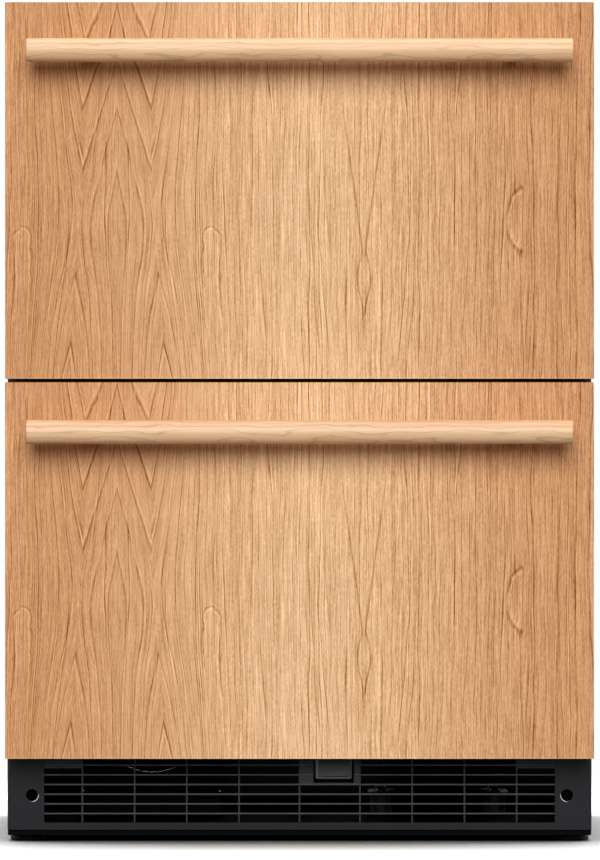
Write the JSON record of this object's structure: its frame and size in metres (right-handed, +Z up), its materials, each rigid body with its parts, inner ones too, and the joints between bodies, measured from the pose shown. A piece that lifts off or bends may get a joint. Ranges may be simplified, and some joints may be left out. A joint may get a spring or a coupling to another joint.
{
  "type": "undercounter drawer refrigerator",
  "caption": "Undercounter refrigerator with stacked insulated drawers, veneered overlay fronts, long round wooden bar handles, a louvred toe grille and levelling feet.",
  "frame": {"origin": "on the floor, under the middle of the object's bounding box", "axes": "+Z up; the drawer fronts face -Y and the drawers open along -Y; +X is to the right seen from the front"},
  "size_m": [0.605, 0.6464, 0.865],
  "materials": {
    "case_steel": "satin",
    "galvanised_steel": "satin",
    "zinc_steel": "satin",
    "foam": "matte",
    "liner_white": "satin",
    "grille_black": "satin",
    "switch_black": "satin",
    "fascia_grey": "satin",
    "button_white": "satin",
    "dark_window": "gloss",
    "light_cover": "satin",
    "aluminium": "satin",
    "fan_white": "satin",
    "fan_black": "satin",
    "motor_steel": "satin",
    "compressor_black": "satin",
    "black_rubber": "matte",
    "copper": "satin",
    "black_plastic": "satin",
    "seal_grey": "matte",
    "bin_white": "satin",
    "divider_clear": "gloss",
    "veneer": "satin",
    "handle_wood": "satin"
  },
  "bodies": {
    "cabinet": {"outer_case": "case_steel", "back_panel": "galvanised_steel", "base_pan": "case_steel", "deck_plate": "galvanised_steel", "foam_insulation": "foam", "inner_liner": "liner_white", "mullion": "case_steel", "toe_grille": "grille_black", "grille_screws": "zinc_steel", "switch_housing": "switch_black", "control_fascia": "fascia_grey", "display_lens": "dark_window", "light_bars": "light_cover", "slide_channels": "zinc_steel", "evaporator_coil": "aluminium", "evaporator_cover": "liner_white", "evaporator_motor": "motor_steel", "compressor": "compressor_black", "compressor_grommets": "black_rubber", "condenser_coil": "motor_steel", "condenser_shroud": "black_plastic", "condenser_motor": "motor_steel", "refrigerant_pipes": "copper", "drain_pan": "black_plastic", "rear_cover": "case_steel", "cord_gland": "black_plastic", "worktop_brackets": "zinc_steel"},
    "power_rocker": {"switch_rocker": "switch_black"},
    "colder_button": {"button_colder": "button_white"},
    "warmer_button": {"button_warmer": "button_white"},
    "evaporator_blades": {"evaporator_fan": "fan_white"},
    "condenser_blades": {"condenser_fan": "fan_black"},
    "levelling_front_left": {"foot_front_left": "black_plastic"},
    "levelling_front_right": {"foot_front_right": "black_plastic"},
    "levelling_back_left": {"foot_back_left": "black_plastic"},
    "levelling_back_right": {"foot_back_right": "black_plastic"},
    "upper_drawer": {"upper_panel": "veneer", "upper_handle": "handle_wood", "upper_handle_posts": "handle_wood", "upper_handle_screws": "zinc_steel", "upper_door_skin": "galvanised_steel", "upper_door_foam": "foam", "upper_door_liner": "liner_white", "upper_seal": "seal_grey", "upper_bin": "bin_white", "upper_slide_inner": "zinc_steel"},
    "upper_slide": {"upper_slide_middle": "zinc_steel"},
    "upper_partition": {"upper_divider": "divider_clear"},
    "lower_drawer": {"lower_panel": "veneer", "lower_handle": "handle_wood", "lower_handle_posts": "handle_wood", "lower_handle_screws": "zinc_steel", "lower_door_skin": "galvanised_steel", "lower_door_foam": "foam", "lower_door_liner": "liner_white", "lower_seal": "seal_grey", "lower_bin": "bin_white", "lower_slide_inner": "zinc_steel"},
    "lower_slide": {"lower_slide_middle": "zinc_steel"},
    "lower_partition": {"lower_divider": "divider_clear"}
  },
  "joints": [
    {"name": "upper_drawer_slide", "type": "slide", "parent": "cabinet", "child": "upper_drawer", "axis": [0, -1, 0], "range_m": [0, 0.38]},
    {"name": "upper_middle_slide", "type": "slide", "parent": "cabinet", "child": "upper_slide", "axis": [0, -1, 0], "range_m": [0, 0.19]},
    {"name": "upper_divider_slide", "type": "slide", "parent": "upper_drawer", "child": "upper_partition", "axis": [0, 1, 0], "range_m": [-0.15, 0.15]},
    {"name": "lower_drawer_slide", "type": "slide", "parent": "cabinet", "child": "lower_drawer", "axis": [0, -1, 0], "range_m": [0, 0.275]},
    {"name": "lower_middle_slide", "type": "slide", "parent": "cabinet", "child": "lower_slide", "axis": [0, -1, 0], "range_m": [0, 0.1375]},
    {"name": "lower_divider_slide", "type": "slide", "parent": "lower_drawer", "child": "lower_partition", "axis": [0, 1, 0], "range_m": [-0.105, 0.105]},
    {"name": "rocker_pivot", "type": "hinge", "parent": "cabinet", "child": "power_rocker", "pos_m": [0, -0.21425, 0.0758], "axis": [1, 0, 0], "range_deg": [0, 12]},
    {"name": "colder_press", "type": "slide", "parent": "cabinet", "child": "colder_button", "axis": [0, 1, 0], "range_m": [0, 0.001], "stiffness_N_per_m": 400, "springref_m": -0.001},
    {"name": "warmer_press", "type": "slide", "parent": "cabinet", "child": "warmer_button", "axis": [0, 1, 0], "range_m": [0, 0.001], "stiffness_N_per_m": 400, "springref_m": -0.001},
    {"name": "evaporator_fan_spin", "type": "hinge", "parent": "cabinet", "child": "evaporator_blades", "pos_m": [0, 0.25525, 0.754], "axis": [0, -1, 0], "continuous": true},
    {"name": "condenser_fan_spin", "type": "hinge", "parent": "cabinet", "child": "condenser_blades", "pos_m": [-0.1605, 0.20325, 0.1165], "axis": [0, 1, 0], "continuous": true},
    {"name": "front_left_levelling", "type": "slide", "parent": "cabinet", "child": "levelling_front_left", "axis": [0, 0, -1], "range_m": [0, 0.02]},
    {"name": "front_right_levelling", "type": "slide", "parent": "cabinet", "child": "levelling_front_right", "axis": [0, 0, -1], "range_m": [0, 0.02]},
    {"name": "back_left_levelling", "type": "slide", "parent": "cabinet", "child": "levelling_back_left", "axis": [0, 0, -1], "range_m": [0, 0.02]},
    {"name": "back_right_levelling", "type": "slide", "parent": "cabinet", "child": "levelling_back_right", "axis": [0, 0, -1], "range_m": [0, 0.02]}
  ],
  "couplings": [
    {"joint": "upper_middle_slide", "follows": "upper_drawer_slide", "ratio": 0.5},
    {"joint": "lower_middle_slide", "follows": "lower_drawer_slide", "ratio": 0.5}
  ]
}
